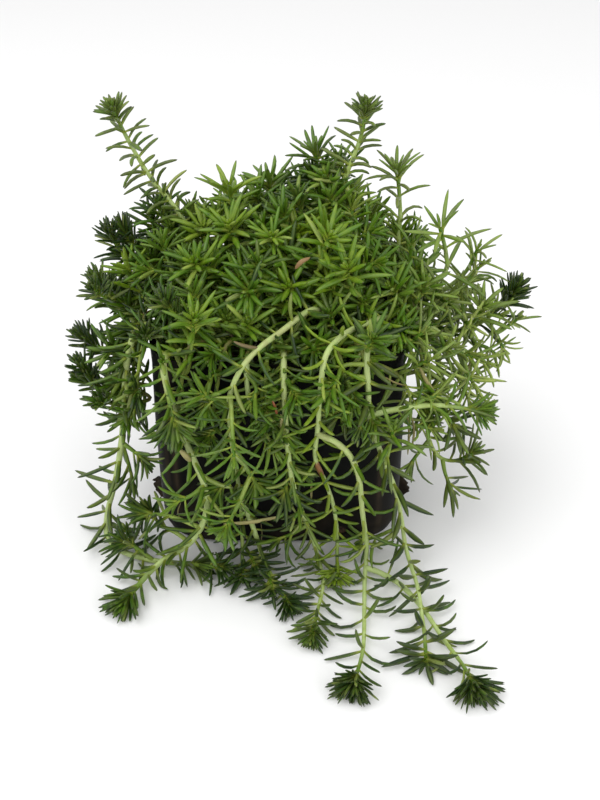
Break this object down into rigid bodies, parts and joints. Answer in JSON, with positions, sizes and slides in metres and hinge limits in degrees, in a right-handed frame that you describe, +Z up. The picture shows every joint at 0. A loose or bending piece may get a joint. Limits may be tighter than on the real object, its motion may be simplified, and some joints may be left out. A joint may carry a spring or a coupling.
{
  "type": "potted spruce sedum",
  "caption": "Spruce sedum with needle-leaved stems that stand, lean and trail over the rim of a soil-filled black nursery bag.",
  "frame": {"origin": "centre of the bag's flat underside", "axes": "+Z up, -Y towards the front, where the trailing stems hang, +X to the right seen from the front"},
  "size_m": [0.2275, 0.2222, 0.2104],
  "materials": {
    "black_film": "satin black film with soft folds",
    "earth": "dark crumbly potting soil",
    "sedum_foliage": "smooth waxy leaf skin, slightly glossy"
  },
  "bodies": {
    "root": {"bag": "black_film", "soil": "earth", "back_left_rosette": "sedum_foliage", "back_trailing_left": "sedum_foliage", "back_trailing_right": "sedum_foliage", "bright_back_right": "sedum_foliage", "comb_left": "sedum_foliage", "corner_rosette": "sedum_foliage", "dark_left": "sedum_foliage", "dark_upper_left": "sedum_foliage", "fan_far_right": "sedum_foliage", "front_left_of_middle": "sedum_foliage", "front_left_rosette": "sedum_foliage", "front_middle": "sedum_foliage", "front_rosette": "sedum_foliage", "front_thin_left": "sedum_foliage", "front_thin_middle": "sedum_foliage", "front_thin_right": "sedum_foliage", "left_corner_pale": "sedum_foliage", "left_corner_thin": "sedum_foliage", "loose_right": "sedum_foliage", "low_left": "sedum_foliage", "low_star_right": "sedum_foliage", "middle_rosette": "sedum_foliage", "pale_back_left": "sedum_foliage", "right_low_shoot": "sedum_foliage", "right_middle_shoot": "sedum_foliage", "right_rosette": "sedum_foliage", "right_side_trailing": "sedum_foliage", "right_upper_shoot": "sedum_foliage", "rim_back_left": "sedum_foliage", "rim_back_middle": "sedum_foliage", "rim_back_right": "sedum_foliage", "rim_left": "sedum_foliage", "shoot_01": "sedum_foliage", "shoot_02": "sedum_foliage", "shoot_03": "sedum_foliage", "shoot_04": "sedum_foliage", "shoot_05": "sedum_foliage", "shoot_06": "sedum_foliage", "shoot_07": "sedum_foliage", "shoot_08": "sedum_foliage", "shoot_09": "sedum_foliage", "shoot_10": "sedum_foliage", "shoot_11": "sedum_foliage", "shoot_12": "sedum_foliage", "shoot_13": "sedum_foliage", "shoot_14": "sedum_foliage", "shoot_15": "sedum_foliage", "shoot_16": "sedum_foliage", "shoot_17": "sedum_foliage", "shoot_18": "sedum_foliage", "shoot_19": "sedum_foliage", "shoot_20": "sedum_foliage", "short_back_middle": "sedum_foliage", "star_back_right": "sedum_foliage", "star_right": "sedum_foliage", "tall_back_left": "sedum_foliage", "tall_back_middle": "sedum_foliage", "yellow_back_left": "sedum_foliage"}
  },
  "joints": []
}
